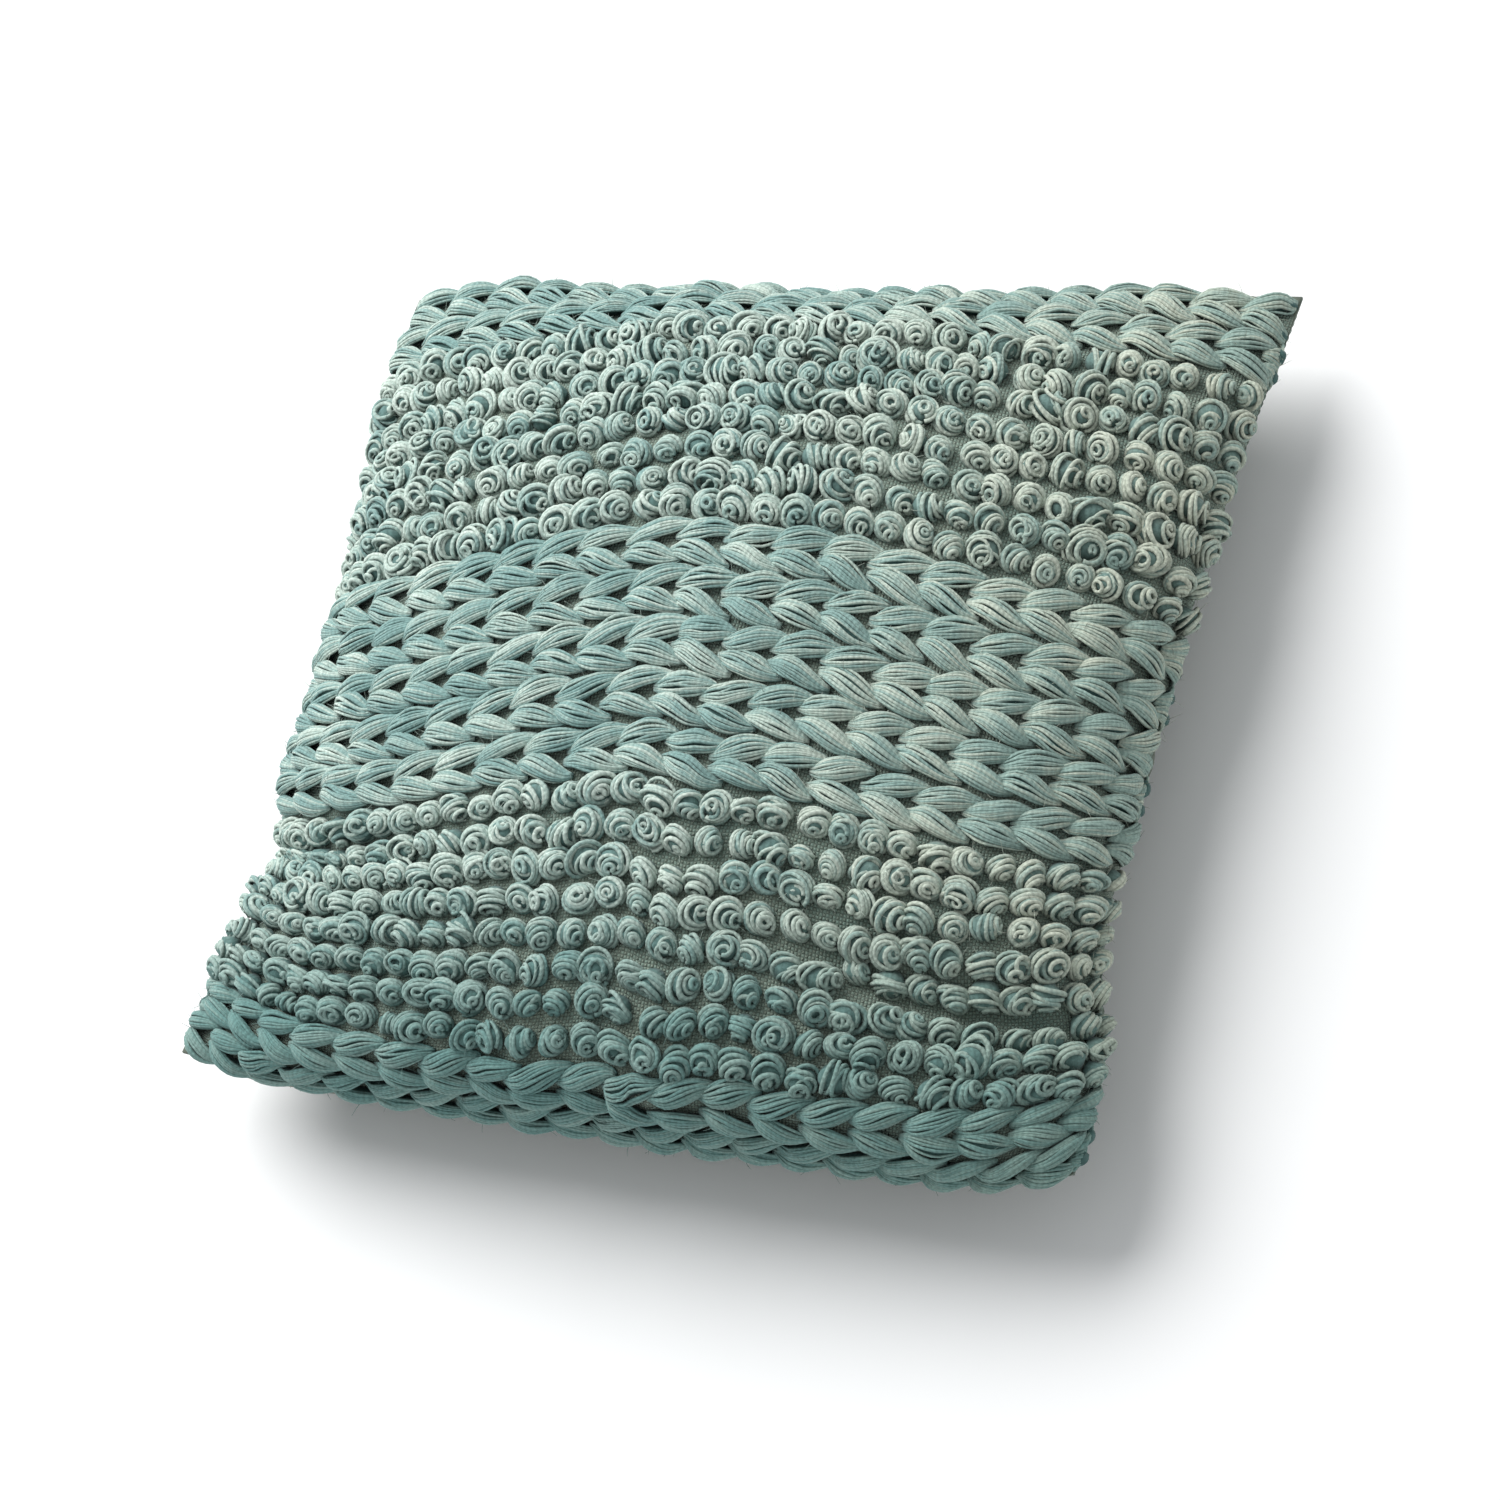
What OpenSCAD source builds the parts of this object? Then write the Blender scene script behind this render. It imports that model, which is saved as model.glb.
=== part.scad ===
// Square throw pillow: a handwoven cover front with braided and looped bands of yarn,
// a plain back in two panels closed by a zip, and a filled insert inside.
// The pillow lies on its back. Millimetres, +Z up, +X along the woven rows, +Y to the
// top of the design, origin on the resting plane under the middle of the pillow.

/* [Stuffed outline] */
// Span of the stuffed cover from side to side at its corners
corner_span = 432; // [415:1:450]
// Inward pull of the left and right sides at their middle
side_pull = 20; // [12:1:26]
// Inward pull of the top edge at its middle
top_pull = 11; // [6:1:18]
// Inward pull of the bottom edge at its middle
bottom_pull = 1; // [0:1:6]
// Share by which the corners are rounded off
corner_round = 0.012; // [0.004:0.004:0.04]
// Height of the edge seam at the middle of a side
seam_height = 50; // [46:1:56]
// Drop of the seam at the corners
corner_drop = 5; // [2:1:10]
// Rise of the front above the seam
front_crown = 72; // [64:1:80]
// Depth of the back below the seam before the surface it lies on flattens it
back_depth = 66; // [61:1:72]
// Roundness of the front's cross-section, lower is fuller at the edges
front_roundness = 0.7; // [0.6:0.02:0.8]
// Roundness of the back's cross-section from top to bottom, lower is fuller at the edges
back_roundness = 0.52; // [0.48:0.01:0.6]
// Roundness of the back's cross-section from side to side, lower is fuller at the edges
back_side_roundness = 0.36; // [0.3:0.01:0.4]

/* [Cover] */
// Thickness of the woven ground of the front
ground_thickness = 1.2; // [0.8:0.1:2]
// Thickness of the back fabric
back_thickness = 0.8; // [0.5:0.1:1.2]
// Diameter of the sewing thread
thread_d = 0.8; // [0.5:0.1:1]

/* [Yarn rows] */
// Pitch of the braided rows in the flat cloth
braid_pitch = 11.7; // [10.5:0.1:13]
// Pitch of the looped rows in the flat cloth
loop_pitch = 15; // [13.5:0.1:16.5]
// Height of a braided row above the ground
braid_height = 7.5; // [5:0.5:9]
// Height of a looped row above the ground
loop_height = 8.5; // [6:0.5:10]

/* [Zip] */
// Half of the zip's length
zip_half = 170; // [150:1:172]
// Width of one side's tape
tape_width = 11.3; // [9:0.1:11.5]
// Pitch of the teeth
tooth_pitch = 2.5; // [2:0.1:4]
// Length of the slider
slider_length = 10; // [8:0.5:11]
// Length of the pull tab beyond its eye
tab_length = 18; // [12:0.5:20]

/* [Insert] */
// Gap between the cover and the insert at the edges
insert_edge_gap = 6; // [5:0.5:10]
// Gap between the cover and the insert on the faces
insert_face_gap = 1; // [0.8:0.1:3]
// Thickness of the insert's casing
casing_thickness = 0.8; // [0.5:0.1:1.2]

/* [Hidden] */
braid_rows = 18;
loop_rows = 16;
// Rows from the bottom edge up: four braided, eight looped, ten braided, eight looped, four braided
band_ends = [4, 12, 22, 30, 34];
row_total = braid_rows + loop_rows;
function is_braid(row) =
  row < band_ends[0] || (row >= band_ends[1] && row < band_ends[2]) || row >= band_ends[3];
function braids_below(row) = row == 0 ? 0 : braids_below(row - 1) + (is_braid(row - 1) ? 1 : 0);
function row_of_braid(n) = [for (row = [0:row_total - 1]) if (is_braid(row)) row][n];
function row_of_loops(n) = [for (row = [0:row_total - 1]) if (!is_braid(row)) row][n];
function two_digits(n) = n < 10 ? str("0", n) : str(n);

half_span = corner_span / 2;
seam_gap = 0.1;
rows_edge = 0.975;
columns = 16;
cloth_height = braid_rows * braid_pitch + loop_rows * loop_pitch;

// Places across the pillow run from -1 at one edge to 1 at the other, closer together near the edges
function place(step, steps) = sin(90 * (2 * step / steps - 1));
column_places = [for (i = [0:columns]) place(i, columns)];

// Lower boundary of a row, counted from the bottom edge, as a place from -1 to 1
function row_start(row) =
  let (braids = braids_below(row), up = braids * braid_pitch + (row - braids) * loop_pitch)
  rows_edge * (2 * up / cloth_height - 1);

// Points of the stuffed outline, of a seam-line height, and of the two faces
function round_off(s, t) = 1 - corner_round * pow(s * t, 8);
function across(s, t, half) = s * (half - side_pull * (1 - t * t)) * round_off(s, t);
function along(s, t, half) =
  t * (half - (t > 0 ? top_pull : bottom_pull) * (1 - s * s)) * round_off(s, t);
function seam_z(s, t) = seam_height - corner_drop * s * s * t * t;
function swell(s, t, side_roundness, roundness) =
  pow(max(0, 1 - s * s), side_roundness) * pow(max(0, 1 - t * t), roundness);
function front_point(s, t, half, crown, lift) = [
  across(s, t, half),
  along(s, t, half),
  seam_z(s, t) + lift + crown * swell(s, t, front_roundness, front_roundness)
];
function back_point(s, t, half, depth, lift, floor_z) = [
  across(s, t, half),
  along(s, t, half),
  max(floor_z, seam_z(s, t) - lift - depth * swell(s, t, back_side_roundness, back_roundness))
];

// A zip plane along X that follows the back near the bottom edge, halfway out to its own ends.
// In its own frame x runs along the teeth, y towards the bottom seam and z out of the cover.
zip_place = -0.9;
zip_step = 0.02;
zip_fit_place = 0.35;
function back_here(t) = back_point(zip_fit_place, t, half_span, back_depth, seam_gap, 0);
zip_height = back_here(zip_place)[2];
zip_origin = [0, along(0, zip_place, half_span), zip_height];
zip_slope = back_here(zip_place - zip_step) - back_here(zip_place + zip_step);
zip_tilt = atan(zip_slope[2] / -zip_slope[1]);
function zip_point(x, y, z) = [
  x,
  zip_origin[1] - cos(zip_tilt) * y - sin(zip_tilt) * z,
  zip_origin[2] + sin(zip_tilt) * y - cos(zip_tilt) * z
];
slit_half = 4;
flat_half = 14;
closed_half = 0.15;
slit_end_place = 0.84;
panel_face = 0.1;
tape_top = -0.6;
tape_thickness = 0.6;
tape_inner = 1.2;
tooth_inner = 0.45;
tooth_root = 1.7;
tooth_outer = 2.6;
tooth_top = 0.9;
tooth_share = 0.55;
teeth_half = zip_half - 5;
stop_length = 3;
slider_rest = teeth_half - 7;
plate_half_width = 3.4;
plate_top = 2.1;
plate_bottom = 1.1;
flange = 0.65;
under_plate_top = -1.5;
under_plate_bottom = -2.6;
wedge_half = 0.3;
wedge_length = 3;
hinge_z = 3.5;
hinge_pin_r = 0.6;
hinge_bore_r = 0.68;
eye_r = 1.3;
eye_half = 1;
ear_inner = 1.15;
ear_outer = 1.95;
ear_half_length = 1.2;
tab_half_width = 2.6;
tab_neck = 3.3;
tab_thickness = 1;
round_detail = 48;

// The filling meets its casing with a hair's gap
filling_gap = 0.2;

wool_pale = [0.68, 0.76, 0.72];
wool_teal = [0.47, 0.60, 0.58];
wool_deep = [0.36, 0.50, 0.50];
ground_colour = [0.45, 0.52, 0.46];
back_colour = [0.44, 0.50, 0.47];
tape_colour = [0.40, 0.48, 0.46];
metal_colour = [0.62, 0.60, 0.55];
casing_colour = [0.93, 0.92, 0.89];
filling_colour = [0.97, 0.97, 0.96];

// A closed slab between two grids of points. Each grid is a list of lines, a line runs along +X
// and the lines follow each other along +Y. The upper grid is the one on the +Z side.
module slab(upper, lower) {
  nx = len(upper[0]);
  ny = len(upper);
  total = nx * ny;
  function at(i, j) = j * nx + i;
  function two(a, b, c, d) = [[a, b, c], [a, c, d]];
  points = concat([for (line = upper) each line], [for (line = lower) each line]);
  faces = concat(
    [for (j = [0:ny - 2], i = [0:nx - 2]) each two(at(i, j), at(i, j + 1), at(i + 1, j + 1), at(i + 1, j))],
    [for (j = [0:ny - 2], i = [0:nx - 2])
      each two(total + at(i, j), total + at(i + 1, j), total + at(i + 1, j + 1), total + at(i, j + 1))],
    [for (i = [0:nx - 2]) each two(at(i, 0), at(i + 1, 0), total + at(i + 1, 0), total + at(i, 0))],
    [for (i = [0:nx - 2], j = [ny - 1]) each two(at(i + 1, j), at(i, j), total + at(i, j), total + at(i + 1, j))],
    [for (j = [0:ny - 2]) each two(at(0, j + 1), at(0, j), total + at(0, j), total + at(0, j + 1))],
    [for (j = [0:ny - 2], i = [nx - 1]) each two(at(i, j), at(i, j + 1), total + at(i, j + 1), total + at(i, j))]
  );
  polyhedron(points = points, faces = faces, convexity = 4);
}

// A closed tube through a list of rings, each with the same number of points, which run clockwise
// when looked at against the way the tube goes
module tube(rings) {
  sides = len(rings[0]);
  last = len(rings) - 1;
  points = [for (ring = rings) each ring];
  function at(ring, side) = ring * sides + side % sides;
  faces = concat(
    [for (r = [0:last - 1], k = [0:sides - 1]) each [
      [at(r, k), at(r, k + 1), at(r + 1, k)],
      [at(r, k + 1), at(r + 1, k + 1), at(r + 1, k)]
    ]],
    [[for (k = [sides - 1:-1:0]) at(0, k)]],
    [[for (k = [0:sides - 1]) at(last, k)]]
  );
  polyhedron(points = points, faces = faces, convexity = 4);
}

// Lines across the front: the edge, every boundary between rows, and the other edge
ground_lines = concat([-1], [for (row = [0:row_total]) row_start(row)], [1]);
function ground_point(i, t) = front_point(column_places[i], t, half_span, front_crown, seam_gap);
function ground_under(i, t) = front_point(
  column_places[i], t, half_span - ground_thickness, front_crown - ground_thickness, seam_gap
);

module front_ground_cloth() {
  color(ground_colour)
    slab(
      [for (t = ground_lines) [for (i = [0:columns]) ground_point(i, t)]],
      [for (t = ground_lines) [for (i = [0:columns]) ground_under(i, t)]]
    );
}

// One row of yarn: its foot lies just above the ground and its back is domed
row_clearance = 0.3;
row_margin = 0.03;
dome = [[0, 0], [0.06, 0.55], [0.3, 0.95], [0.7, 0.95], [0.94, 0.55], [1, 0]];
function outward(i, row) =
  let (
    a = ground_point(i, row_start(row)),
    b = ground_point(i, row_start(row + 1)),
    c = ground_point(i - 1, row_start(row)),
    d = ground_point(i + 1, row_start(row)),
    n = cross(d - c, b - a)
  )
  n / norm(n);
function row_ring(i, row, height) =
  let (
    a = ground_point(i, row_start(row)),
    b = ground_point(i, row_start(row + 1)),
    n = outward(i, row)
  )
  [for (p = dome)
    let (share = row_margin + (1 - 2 * row_margin) * p[0])
    a + (b - a) * share + n * (row_clearance + height * p[1])];

module yarn_row(row, height) {
  tube([for (i = [1:columns - 1]) row_ring(i, row, height)]);
}

module soumak_row(number) {
  row = row_of_braid(number - 1);
  shade = row < band_ends[0] ? wool_deep : row < band_ends[2] ? wool_teal : wool_pale;
  color(shade)
    yarn_row(row, braid_height);
}

module loop_row(number) {
  row = row_of_loops(number - 1);
  color(row < band_ends[1] ? wool_teal : wool_pale)
    yarn_row(row, loop_height);
}

// The back is cut in two at the zip. Where the zip is, the cloth's folded edges lie flat in its
// plane, and beyond its ends the two panels are sewn to each other.
function back_x(s) = across(s, zip_place, half_span);
function at_zip(s) = abs(s) < slit_end_place;
function back_outer(s, t) = back_point(s, t, half_span, back_depth, seam_gap, 0);
function back_inner(s, t) = back_point(
  s, t, half_span - back_thickness, back_depth - back_thickness, seam_gap, back_thickness
);
function edge_outer(s, side, open, closed) = at_zip(s)
  ? zip_point(back_x(s), side * open, panel_face)
  : back_outer(s, zip_place - side * closed / half_span);
function edge_inner(s, side, open, closed) = at_zip(s)
  ? zip_point(back_x(s), side * open, tape_top + panel_face)
  : back_inner(s, zip_place - side * closed / half_span);

module back_panel_main() {
  first = -51;
  steps = 12;
  lines = [for (j = [0:steps]) sin(first + (90 - first) * j / steps)];
  inner = concat(
    [[for (s = column_places) edge_inner(s, -1, slit_half, closed_half)]],
    [[for (s = column_places) edge_inner(s, -1, flat_half, flat_half)]],
    [for (t = lines) [for (s = column_places) back_inner(s, t)]]
  );
  outer = concat(
    [[for (s = column_places) edge_outer(s, -1, slit_half, closed_half)]],
    [[for (s = column_places) edge_outer(s, -1, flat_half, flat_half)]],
    [for (t = lines) [for (s = column_places) back_outer(s, t)]]
  );
  color(back_colour)
    slab(inner, outer);
}

module back_panel_strip() {
  near_seam = -0.985;
  inner = concat(
    [for (t = [-1, near_seam]) [for (s = column_places) back_inner(s, t)]],
    [[for (s = column_places) edge_inner(s, 1, flat_half, flat_half)]],
    [[for (s = column_places) edge_inner(s, 1, slit_half, closed_half)]]
  );
  outer = concat(
    [for (t = [-1, near_seam]) [for (s = column_places) back_outer(s, t)]],
    [[for (s = column_places) edge_outer(s, 1, flat_half, flat_half)]],
    [[for (s = column_places) edge_outer(s, 1, slit_half, closed_half)]]
  );
  color(back_colour)
    slab(inner, outer);
}

// Sewing thread just inside the edge, in the closed angle between the two faces
function thread_ring(centre, direction, radius) =
  let (
    d = direction / norm(direction),
    side = cross([0, 0, 1], d),
    u = side / norm(side),
    v = cross(u, d)
  )
  [for (k = [0:5]) centre + radius * (cos(60 * k) * u + sin(60 * k) * v)];

function seam_point(s, t, inset) =
  [across(s, t, half_span - inset), along(s, t, half_span - inset), seam_z(s, t)];

module edge_thread(along_x, sign, inset, radius) {
  reach = 0.95;
  steps = 14;
  step = 0.01;
  function here(p, slip) = along_x ? seam_point(p + slip, sign, inset) : seam_point(sign, p + slip, inset);
  places = [for (i = [0:steps]) reach * (2 * i / steps - 1)];
  tube([for (p = places) thread_ring(here(p, 0), here(p, step) - here(p, -step), radius)]);
}

thread_inset = 2.6;
module seam_thread(along_x, sign) {
  color(back_colour)
    edge_thread(along_x, sign, thread_inset, thread_d / 2);
}

module in_zip_frame() {
  translate(zip_origin)
    rotate([180 - zip_tilt, 0, 0])
      children();
}

// A block in the zip's frame, on one side of the teeth
module zip_block(x, y, z) {
  in_zip_frame()
    translate([x[0], y[0], z[0]])
      cube([x[1] - x[0], y[1] - y[0], z[1] - z[0]]);
}

// Upper side is -1, lower side is 1
function on_side(side, near, far) = side > 0 ? [near, far] : [-far, -near];

module zip_tape(side) {
  color(tape_colour)
    zip_block(
      [-zip_half, zip_half],
      on_side(side, tape_inner, tape_inner + tape_width),
      [tape_top - tape_thickness, tape_top]
    );
}

// One side's teeth: a spine on the tape with a comb of teeth towards the middle
module zip_teeth(side) {
  count = floor(2 * teeth_half / tooth_pitch);
  start = -count * tooth_pitch / 2;
  width = tooth_pitch * tooth_share;
  shift = side > 0 ? 0 : tooth_pitch / 2;
  comb = concat(
    [[start, tooth_outer]],
    [for (k = [0:count - 2]) let (x = start + shift + k * tooth_pitch) each [
      [x, tooth_root], [x, tooth_inner], [x + width, tooth_inner], [x + width, tooth_root]
    ]],
    [[start + count * tooth_pitch, tooth_root], [start + count * tooth_pitch, tooth_outer]]
  );
  profile = side > 0 ? comb : [for (p = comb) [p[0], -p[1]]];
  color(metal_colour)
    in_zip_frame()
      translate([0, 0, tape_top])
        linear_extrude(height = tooth_top - tape_top)
          polygon(profile);
}

// A line of machine stitches that holds the folded edge to the tape
module zip_stitching(side) {
  stitch_line = 8;
  color(tape_colour)
    zip_block(
      [-zip_half, zip_half],
      on_side(side, stitch_line - thread_d / 2, stitch_line + thread_d / 2),
      [panel_face, panel_face + thread_d / 2]
    );
}

module zip_top_stops() {
  color(metal_colour)
    for (side = [-1, 1])
      zip_block(
        [teeth_half + 0.2, teeth_half + 0.2 + stop_length],
        on_side(side, tooth_inner, tooth_outer),
        [tape_top, tooth_top + 0.2]
      );
}

module zip_bottom_stop() {
  color(metal_colour)
    zip_block(
      [-teeth_half - 0.2 - stop_length, -teeth_half - 0.2],
      [-tooth_outer, tooth_outer],
      [tape_top, tooth_top + 0.2]
    );
}

// Two plates joined by a wedge that runs in the slot between the teeth, with guides at the sides
// and two ears that hold the pull tab's pin
module zip_slider() {
  half = slider_length / 2;
  color(metal_colour)
    in_zip_frame()
      translate([slider_rest, 0, 0]) {
        translate([-half, -plate_half_width, plate_bottom])
          cube([slider_length, 2 * plate_half_width, plate_top - plate_bottom]);
        for (y = [-plate_half_width, plate_half_width - flange])
          translate([-half, y, tape_top + 0.15])
            cube([slider_length, flange, plate_bottom - tape_top - 0.15]);
        translate([-half, -plate_half_width, under_plate_bottom])
          cube([slider_length, 2 * plate_half_width, under_plate_top - under_plate_bottom]);
        translate([half - wedge_length, -wedge_half, under_plate_top])
          cube([wedge_length, 2 * wedge_half, plate_bottom - under_plate_top]);
        for (y = [-ear_outer, ear_inner])
          translate([-ear_half_length, y, plate_top])
            cube([2 * ear_half_length, ear_outer - ear_inner, hinge_z + hinge_pin_r + 0.4 - plate_top]);
        translate([0, ear_outer, hinge_z])
          rotate([90, 0, 0])
            cylinder(r = hinge_pin_r, h = 2 * ear_outer, $fn = round_detail);
      }
}

// A flat tab with an eye that turns on the slider's pin
module zip_pull_tab() {
  color(metal_colour)
    in_zip_frame()
      translate([slider_rest, 0, hinge_z])
        difference() {
          union() {
            translate([0, eye_half, 0])
              rotate([90, 0, 0])
                cylinder(r = eye_r, h = 2 * eye_half, $fn = round_detail);
            translate([-tab_neck - 0.5, -eye_half, -tab_thickness / 2])
              cube([tab_neck + 0.5, 2 * eye_half, tab_thickness]);
            translate([-tab_length, -tab_half_width, -tab_thickness / 2])
              cube([tab_length - tab_neck, 2 * tab_half_width, tab_thickness]);
            translate([-tab_length, 0, -tab_thickness / 2])
              cylinder(r = tab_half_width, h = tab_thickness, $fn = round_detail);
          }
          translate([0, eye_half + 1, 0])
            rotate([90, 0, 0])
              cylinder(r = hinge_bore_r, h = 2 * eye_half + 2, $fn = round_detail);
          translate([-tab_length, 0, -tab_thickness])
            cylinder(r = tab_half_width / 2, h = 2 * tab_thickness, $fn = round_detail);
        }
}

// The insert: a two-piece casing round one body of filling
insert_columns = 12;
insert_half = half_span - insert_edge_gap;
insert_crown = front_crown - ground_thickness - insert_face_gap;
insert_depth = back_depth - back_thickness - insert_face_gap;
insert_floor = back_thickness + insert_face_gap;
function insert_front(s, t, shrink) =
  front_point(s, t, insert_half - shrink, insert_crown - shrink, seam_gap);
function insert_back(s, t, shrink) =
  back_point(s, t, insert_half - shrink, insert_depth - shrink, seam_gap, insert_floor + shrink);
insert_places = [for (i = [0:insert_columns]) place(i, insert_columns)];
function front_grid(shrink) = [for (t = insert_places) [for (s = insert_places) insert_front(s, t, shrink)]];
function back_grid(shrink) = [for (t = insert_places) [for (s = insert_places) insert_back(s, t, shrink)]];

module insert_casing_front() {
  color(casing_colour)
    slab(front_grid(0), front_grid(casing_thickness));
}

module insert_casing_back() {
  color(casing_colour)
    slab(back_grid(casing_thickness), back_grid(0));
}

module insert_filling() {
  shrink = casing_thickness + filling_gap;
  color(filling_colour)
    slab(front_grid(shrink), back_grid(shrink));
}

// Thread that closes the casing, one run along each side of its rim
module insert_seam_thread() {
  clearance = 0.35;
  inset = insert_edge_gap - thread_d / 2 - clearance;
  color(casing_colour)
    for (sign = [-1, 1]) {
      edge_thread(true, sign, inset, thread_d / 2);
      edge_thread(false, sign, inset, thread_d / 2);
    }
}

front_ground_cloth();
back_panel_main();
back_panel_strip();
for (n = [1:braid_rows])
  soumak_row(n);
for (n = [1:loop_rows])
  loop_row(n);
seam_thread(true, 1);  // seam_thread_top
seam_thread(true, -1);  // seam_thread_bottom
seam_thread(false, -1);  // seam_thread_left
seam_thread(false, 1);  // seam_thread_right
zip_tape(-1);  // zip_tape_upper
zip_tape(1);  // zip_tape_lower
zip_teeth(-1);  // zip_teeth_upper
zip_teeth(1);  // zip_teeth_lower
zip_stitching(-1);  // zip_stitching_upper
zip_stitching(1);  // zip_stitching_lower
zip_top_stops();
zip_bottom_stop();
zip_slider();
zip_pull_tab();
insert_casing_front();
insert_casing_back();
insert_filling();
insert_seam_thread();
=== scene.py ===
"""A square throw pillow with a handwoven front: braided and looped bands of cotton yarn on a coarse
woven ground, a plain back closed by a zip, and a filled insert. Metres, +Z up, +X along the rows."""

import math

import bpy
import numpy as np
from mathutils import Matrix, Vector


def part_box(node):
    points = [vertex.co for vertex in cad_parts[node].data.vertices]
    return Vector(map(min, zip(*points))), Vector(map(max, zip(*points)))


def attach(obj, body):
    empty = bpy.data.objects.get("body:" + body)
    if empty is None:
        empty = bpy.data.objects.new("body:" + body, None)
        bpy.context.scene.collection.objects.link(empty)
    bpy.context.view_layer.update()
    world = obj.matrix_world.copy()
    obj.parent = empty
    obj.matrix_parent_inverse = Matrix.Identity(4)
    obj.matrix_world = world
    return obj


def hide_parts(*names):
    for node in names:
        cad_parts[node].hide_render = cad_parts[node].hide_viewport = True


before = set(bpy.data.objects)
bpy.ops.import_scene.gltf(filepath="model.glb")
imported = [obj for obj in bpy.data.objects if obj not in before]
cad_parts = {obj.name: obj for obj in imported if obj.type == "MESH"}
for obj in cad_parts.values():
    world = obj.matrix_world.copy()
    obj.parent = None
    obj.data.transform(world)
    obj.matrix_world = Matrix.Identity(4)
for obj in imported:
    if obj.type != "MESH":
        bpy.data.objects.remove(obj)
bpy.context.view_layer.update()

MM = 0.001
random = np.random.default_rng(27)

# ---------------------------------------------------------------- sizes, from the frame
ground_low, ground_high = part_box("front_ground_cloth")
HALF_X = (ground_high.x - ground_low.x) / 2
HALF_Y = (ground_high.y - ground_low.y) / 2
CROWN_TOP = ground_high.z

FLAT = 450 * MM  # side of the cover before it is stuffed
GRID = 73  # points along a side of the simulated cover
FINE = 4  # each grid cell is cut into this many when yarn is laid on it

SEAM_Z = 50 * MM  # height of the edge seams over the floor
WRINKLES = 0.5  # how much of the simulated cloth's own unevenness the front keeps
BACK_SOFTNESS = 1.3  # above 1 the back falls away from the seams more gently
BACK_DEPTH = 66 * MM  # how far the back would hang below the seams without a floor
FLOOR_GIVE = 3 * MM  # rounding of the back where it meets the floor
FLOOR_Z = 0.6 * MM  # height of the back where it lies on the floor
CLOTH = 1.2 * MM  # thickness of the front's ground cloth
BACK_CLOTH = 0.6 * MM
CASING = 0.6 * MM

# Yarn rows from the bottom edge up
BRAID_PITCH = 11.7 * MM
LOOP_PITCH = 15 * MM
BANDS = [("braid", 4), ("loops", 8), ("braid", 10), ("loops", 8), ("braid", 4)]
HEM = 3 * MM
YARN_EDGE = FLAT / 2 - 1.5 * MM  # no yarn is laid further out on the flat cloth


# ---------------------------------------------------------------- small helpers
def smooth(x):
    x = np.clip(x, 0, 1)
    return x * x * (3 - 2 * x)


def unit(v):
    return v / np.maximum(np.linalg.norm(v, axis=-1, keepdims=True), 1e-12)


def bump(x, centre, width):
    return np.exp(-(((x - centre) / width) ** 2))


def unit_grid(count):
    """Places from -1 to 1, and the grids u and v that they make."""
    places = np.linspace(-1, 1, count)
    v, u = np.meshgrid(places, places, indexing="ij")
    return places, u, v


def grid_normals(grid, outward):
    return unit(np.cross(np.gradient(grid, axis=1), np.gradient(grid, axis=0)) * outward)


def rim_of(grid):
    """The grid's outer ring in order, its first point again at the end."""
    return np.concatenate([grid[0], grid[1:, -1], grid[-1, -2::-1], grid[-2::-1, 0]])


def distances(line):
    """How far each point of a line lies from its first, along the line."""
    return np.concatenate([[0], np.cumsum(np.linalg.norm(np.diff(line, axis=0), axis=1))])


def new_mesh(name, points, faces):
    """A mesh object from an array of points and an array of faces that all have as many corners."""
    mesh = bpy.data.meshes.new(name)
    points = np.asarray(points, np.float32).reshape(-1, 3)
    faces = np.asarray(faces, np.int32)
    count, corners = faces.shape
    mesh.vertices.add(len(points))
    mesh.vertices.foreach_set("co", points.ravel())
    mesh.loops.add(count * corners)
    mesh.loops.foreach_set("vertex_index", faces.ravel())
    mesh.polygons.add(count)
    mesh.polygons.foreach_set("loop_start", np.arange(0, count * corners, corners, dtype=np.int32))
    mesh.update(calc_edges=True)
    mesh.polygons.foreach_set("use_smooth", np.ones(count, bool))
    obj = bpy.data.objects.new(name, mesh)
    bpy.context.scene.collection.objects.link(obj)
    return obj


def corner_uv(obj, name, values):
    layer = obj.data.uv_layers.new(name=name)
    layer.data.foreach_set("uv", np.asarray(values, np.float32).ravel())


def point_value(obj, name, values):
    attribute = obj.data.attributes.new(name, "FLOAT", "POINT")
    attribute.data.foreach_set("value", np.asarray(values, np.float32).ravel())


# ---------------------------------------------------------------- the stuffed cover
def flat_cover(u, v):
    """Front and back grids of an almost flat cover, before it is filled."""
    lift = 30 * MM * np.sqrt((1 - u**2) * (1 - v**2))
    flat = FLAT / 2
    front = np.stack([u * flat, v * flat, lift], -1)
    back = np.stack([u * flat, v * flat, -lift], -1)
    return front, back


def cover_topology():
    """Vertex numbers of the front and back grids, which share their outer ring, and the faces."""
    n = GRID
    front = np.arange(n * n).reshape(n, n)
    back = front.copy()
    back[1:-1, 1:-1] = n * n + np.arange((n - 2) * (n - 2)).reshape(n - 2, n - 2)
    quads = []
    for grid, flip in ((front, False), (back, True)):
        ring = [grid[:-1, :-1], grid[:-1, 1:], grid[1:, 1:], grid[1:, :-1]]
        if flip:
            ring = ring[::-1]
        quads.append(np.stack([c.ravel() for c in ring], -1))
    return front, back, np.concatenate(quads)


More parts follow.
